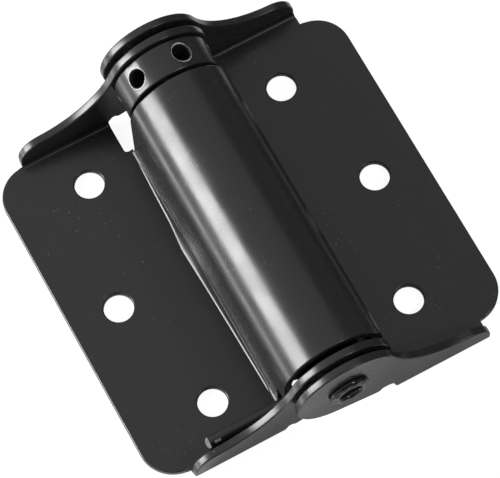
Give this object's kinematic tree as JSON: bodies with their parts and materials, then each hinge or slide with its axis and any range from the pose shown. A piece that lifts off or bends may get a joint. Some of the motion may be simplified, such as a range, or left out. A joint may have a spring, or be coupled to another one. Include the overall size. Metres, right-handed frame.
{
  "type": "spring hinge",
  "caption": "Surface-mounted door hinge that closes by itself: two folded steel leaves on a riveted pin, a barrel rolled round a torsion spring, and a drilled collar that sets its tension.",
  "frame": {"origin": "under the pin's axis, in the middle of the screw holes, on the plane of the leaves' backs, with the hinge open flat", "axes": "+X towards the outer leaf, +Y along the pin towards the tension collar, +Z away from the door, towards the barrel"},
  "size_m": [0.0752, 0.0806, 0.0263],
  "materials": {
    "black_coat": "semi-gloss",
    "spring_wire": "semi-gloss"
  },
  "bodies": {
    "barrel_side": {"barrel_leaf": "black_coat", "barrel": "black_coat", "torsion_spring": "spring_wire"},
    "outer_side": {"outer_leaf": "black_coat", "hinge_pin": "black_coat", "low_washer": "black_coat", "high_washer": "black_coat"},
    "collar": {"tension_collar": "black_coat"}
  },
  "joints": [
    {"name": "leaf_swing", "type": "hinge", "parent": "barrel_side", "child": "outer_side", "pos_m": [0, 0, 0.0159], "axis": [0, -1, 0], "range_deg": [-55, 180], "stiffness_Nm_per_rad": 0.3, "deforming": ["torsion_spring"]},
    {"name": "collar_turn", "type": "hinge", "parent": "outer_side", "child": "collar", "pos_m": [0, 0, 0.0159], "axis": [0, -1, 0], "range_deg": [0, 300], "deforming": ["torsion_spring"]}
  ]
}
